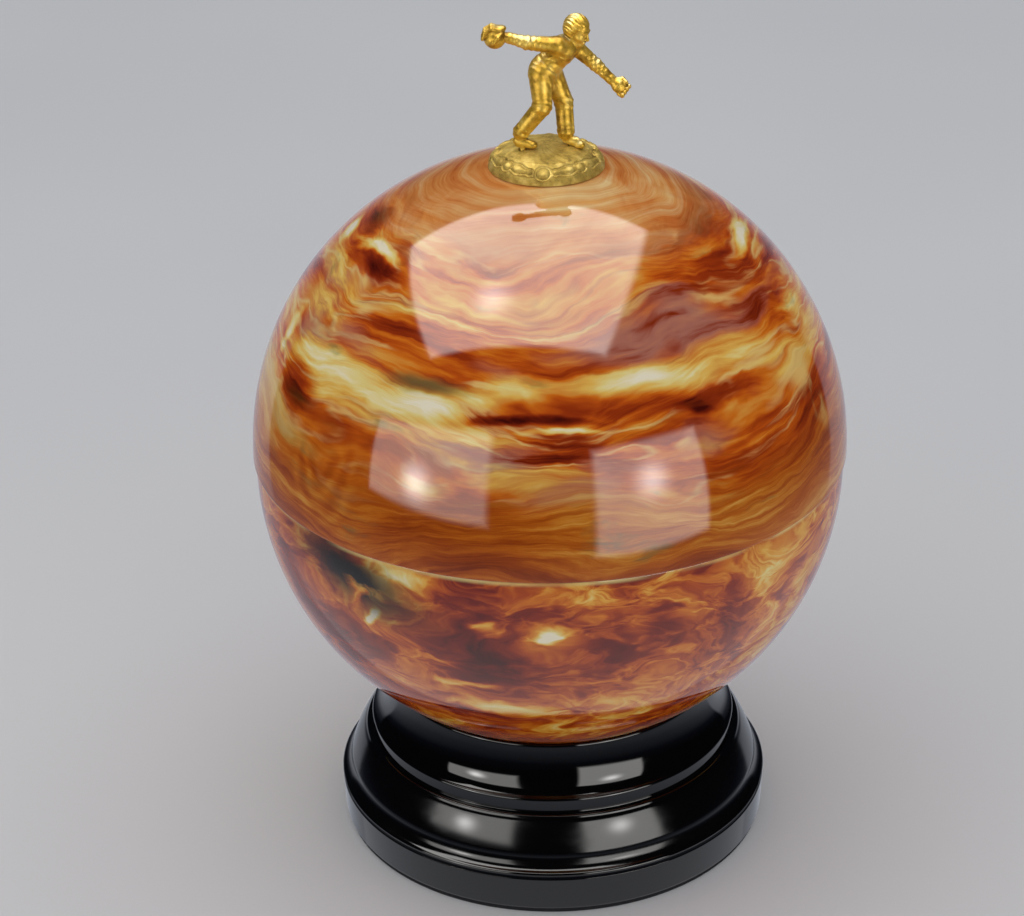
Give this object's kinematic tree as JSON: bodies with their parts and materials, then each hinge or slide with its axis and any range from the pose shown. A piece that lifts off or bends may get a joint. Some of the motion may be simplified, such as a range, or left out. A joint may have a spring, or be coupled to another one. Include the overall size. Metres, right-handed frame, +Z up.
{
  "type": "bowling ball decanter set",
  "caption": "Marbled bowling ball that opens at its middle on a stepped black plinth, with a gilt bowler on top and a brass rack of a decanter and shot glasses inside.",
  "frame": {"origin": "on the ball's vertical axis, in the plane the set stands on", "axes": "+Z up the axis; -Y towards the bowler's right side, which is the front; +X the way the bowler strides"},
  "size_m": [0.218, 0.218, 0.3184],
  "materials": {
    "marbled_lid": "high gloss, banded amber, rust and cream marbling",
    "marbled_bowl": "high gloss, flame-like dark red, gold and near-black marbling",
    "black_phenolic": "polished black with faint wear",
    "gilt": "bright gilding on cast metal, rubbed grey on its high points",
    "aged_gilt": "dull aged gilding, grainy",
    "brass": "polished sheet and rod",
    "steel": "zinc-plated",
    "clear_glass": "clear, polished",
    "rubber": "matt",
    "cork": "natural cork",
    "fibre": "red vulcanised fibre",
    "black_felt": "felt"
  },
  "bodies": {
    "base": {"base_felt_ring": "black_felt", "base_plinth": "black_phenolic", "bowl_gasket_lower": "rubber", "bowl_shell": "marbled_bowl", "bowl_gasket_upper": "rubber", "rack_spacer": "brass", "base_bolt_washer": "steel", "base_bolt": "steel", "rack_tray": "brass", "rack_nut_washer": "steel", "rack_nut": "steel", "gallery_plate": "brass", "pillar_1": "brass", "pillar_screw_1": "steel", "pillar_knob_1": "brass", "pillar_2": "brass", "pillar_screw_2": "steel", "pillar_knob_2": "brass", "pillar_3": "brass", "pillar_screw_3": "steel", "pillar_knob_3": "brass"},
    "lid": {"lid_shell": "marbled_lid", "finial_fibre_washer": "fibre", "finial_steel_washer": "steel", "finial_nut": "steel", "finial_stud": "steel", "finial_dome": "aged_gilt", "bowler_figure": "gilt"},
    "decanter": {"decanter_bottle": "clear_glass"},
    "stopper": {"stopper_cork": "cork", "stopper_knob": "clear_glass"},
    "glass_1": {"shot_glass_1": "clear_glass"},
    "glass_2": {"shot_glass_2": "clear_glass"},
    "glass_3": {"shot_glass_3": "clear_glass"},
    "glass_4": {"shot_glass_4": "clear_glass"},
    "glass_5": {"shot_glass_5": "clear_glass"},
    "glass_6": {"shot_glass_6": "clear_glass"}
  },
  "joints": [
    {"name": "lid_lift", "type": "slide", "parent": "base", "child": "lid", "axis": [0, 0, 1], "range_m": [0, 0.3]},
    {"name": "decanter_lift", "type": "slide", "parent": "base", "child": "decanter", "axis": [0, 0, 1], "range_m": [0, 0.15]},
    {"name": "stopper_lift", "type": "slide", "parent": "decanter", "child": "stopper", "axis": [0, 0, 1], "range_m": [0, 0.03]},
    {"name": "glass_1_lift", "type": "slide", "parent": "base", "child": "glass_1", "axis": [0, 0, 1], "range_m": [0, 0.075]},
    {"name": "glass_2_lift", "type": "slide", "parent": "base", "child": "glass_2", "axis": [0, 0, 1], "range_m": [0, 0.075]},
    {"name": "glass_3_lift", "type": "slide", "parent": "base", "child": "glass_3", "axis": [0, 0, 1], "range_m": [0, 0.075]},
    {"name": "glass_4_lift", "type": "slide", "parent": "base", "child": "glass_4", "axis": [0, 0, 1], "range_m": [0, 0.075]},
    {"name": "glass_5_lift", "type": "slide", "parent": "base", "child": "glass_5", "axis": [0, 0, 1], "range_m": [0, 0.075]},
    {"name": "glass_6_lift", "type": "slide", "parent": "base", "child": "glass_6", "axis": [0, 0, 1], "range_m": [0, 0.075]}
  ],
  "couplings": [
    {"joint": "decanter_lift", "follows": "lid_lift", "ratio": 0.5},
    {"joint": "stopper_lift", "follows": "lid_lift", "ratio": 0.1},
    {"joint": "glass_1_lift", "follows": "lid_lift", "ratio": 0.25},
    {"joint": "glass_2_lift", "follows": "lid_lift", "ratio": 0.25},
    {"joint": "glass_3_lift", "follows": "lid_lift", "ratio": 0.25},
    {"joint": "glass_4_lift", "follows": "lid_lift", "ratio": 0.25},
    {"joint": "glass_5_lift", "follows": "lid_lift", "ratio": 0.25},
    {"joint": "glass_6_lift", "follows": "lid_lift", "ratio": 0.25}
  ]
}
